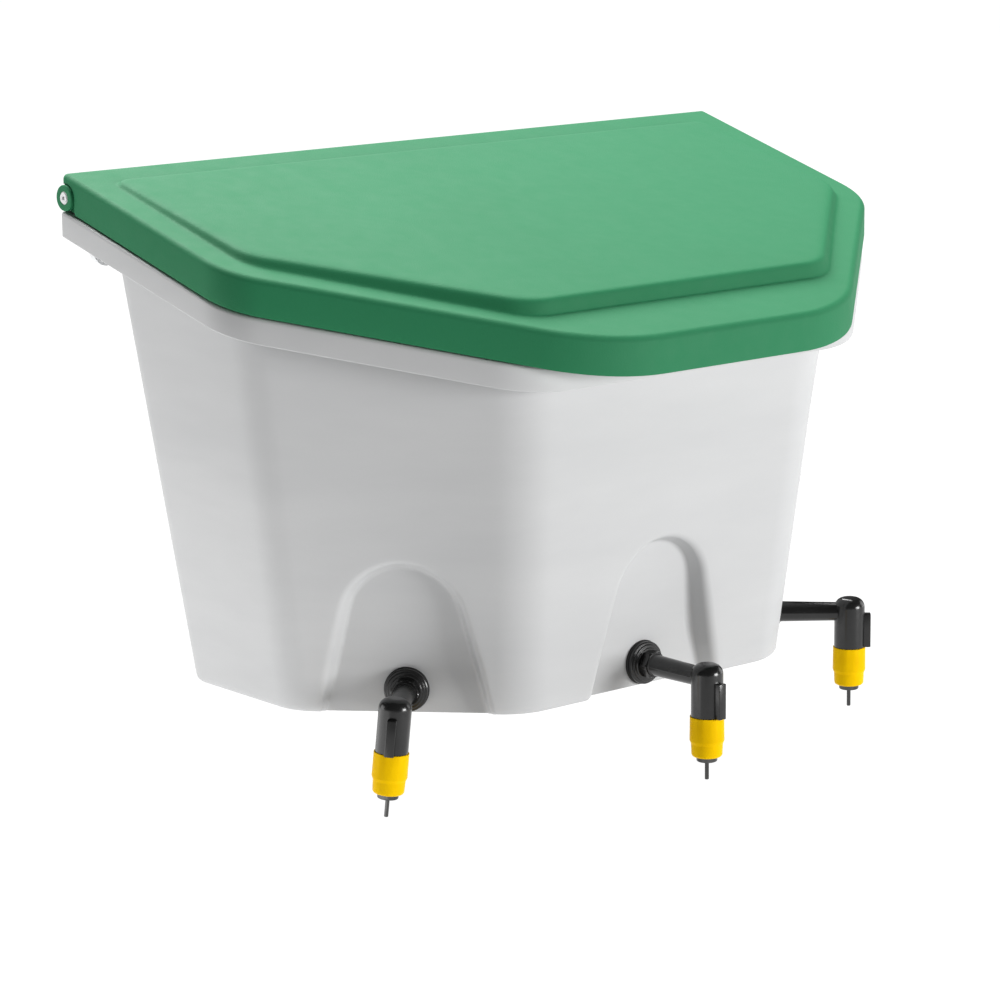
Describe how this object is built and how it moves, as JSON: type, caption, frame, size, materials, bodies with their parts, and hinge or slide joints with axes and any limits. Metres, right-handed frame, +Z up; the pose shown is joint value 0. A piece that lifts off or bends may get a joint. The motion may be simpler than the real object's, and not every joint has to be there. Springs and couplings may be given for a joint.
{
  "type": "poultry nipple drinker",
  "caption": "Wall-hung tapered water tank with a sloping hinged lid; swivelling elbow arms on its sides carry nipples with tilting trigger pins.",
  "frame": {"origin": "centre of the wall bracket's hole pattern, on the wall face", "axes": "+Z up, +Y into the wall, -Y out to the front of the drinker, X along the wall"},
  "size_m": [0.42, 0.2517, 0.2872],
  "materials": {
    "tank": "satin, light grey",
    "lid": "fine-grained satin, green",
    "pin": "satin, light grey",
    "bracket": "zinc-plated",
    "arm": "semi-gloss black",
    "cap": "semi-gloss yellow",
    "steel": "turned stainless",
    "rubber": "matte black"
  },
  "bodies": {
    "body": {"tank": "tank", "hinge_pins": "pin", "wall_bracket": "bracket", "wall_buffers": "rubber", "tie_tabs": "pin", "gaskets_out": "rubber", "gaskets_in": "rubber"},
    "lid": {"lid": "lid"},
    "arm_left": {"arm_left": "arm", "nut_left": "arm", "cap_left": "cap", "seat_left": "steel", "oring_left": "rubber", "seal_left": "rubber"},
    "stem_left": {"stem_left": "steel"},
    "trigger_left": {"trigger_left": "steel"},
    "arm_front": {"arm_front": "arm", "nut_front": "arm", "cap_front": "cap", "seat_front": "steel", "oring_front": "rubber", "seal_front": "rubber"},
    "stem_front": {"stem_front": "steel"},
    "trigger_front": {"trigger_front": "steel"},
    "arm_right": {"arm_right": "arm", "nut_right": "arm", "cap_right": "cap", "seat_right": "steel", "oring_right": "rubber", "seal_right": "rubber"},
    "stem_right": {"stem_right": "steel"},
    "trigger_right": {"trigger_right": "steel"}
  },
  "joints": [
    {"name": "lid_hinge", "type": "hinge", "parent": "body", "child": "lid", "pos_m": [0, -0.0184, 0.0481], "axis": [-1, 0, 0], "range_deg": [0, 104]},
    {"name": "swivel_left", "type": "hinge", "parent": "body", "child": "arm_left", "pos_m": [-0.11689, -0.15285, -0.179], "axis": [-0.7293, -0.6842, 0], "range_deg": [-25, 25]},
    {"name": "lift_left", "type": "slide", "parent": "arm_left", "child": "stem_left", "axis": [0.0656, -0.0699, 0.9954], "range_m": [0, 0.00071]},
    {"name": "tilt_left", "type": "hinge", "parent": "arm_left", "child": "trigger_left", "pos_m": [-0.15429, -0.18315, -0.21533], "axis": [0.6811, -0.7259, -0.0958], "range_deg": [0, 12]},
    {"name": "swivel_front", "type": "hinge", "parent": "body", "child": "arm_front", "pos_m": [0, -0.189, -0.179], "axis": [0, -1, 0], "range_deg": [-25, 25]},
    {"name": "lift_front", "type": "slide", "parent": "arm_front", "child": "stem_front", "axis": [0, 0, 1], "range_m": [0, 0.00071]},
    {"name": "tilt_front", "type": "hinge", "parent": "arm_front", "child": "trigger_front", "pos_m": [0, -0.237, -0.2155], "axis": [1, 0, 0], "range_deg": [0, 12]},
    {"name": "swivel_right", "type": "hinge", "parent": "body", "child": "arm_right", "pos_m": [0.11689, -0.15285, -0.179], "axis": [0.7293, -0.6842, 0], "range_deg": [-25, 25]},
    {"name": "lift_right", "type": "slide", "parent": "arm_right", "child": "stem_right", "axis": [0, 0, 1], "range_m": [0, 0.00071]},
    {"name": "tilt_right", "type": "hinge", "parent": "arm_right", "child": "trigger_right", "pos_m": [0.1519, -0.1857, -0.2155], "axis": [0.6842, 0.7293, 0], "range_deg": [0, 12]}
  ],
  "couplings": [
    {"joint": "tilt_left", "follows": "lift_left", "rad_per_m": 294},
    {"joint": "tilt_front", "follows": "lift_front", "rad_per_m": 294},
    {"joint": "tilt_right", "follows": "lift_right", "rad_per_m": 294}
  ]
}
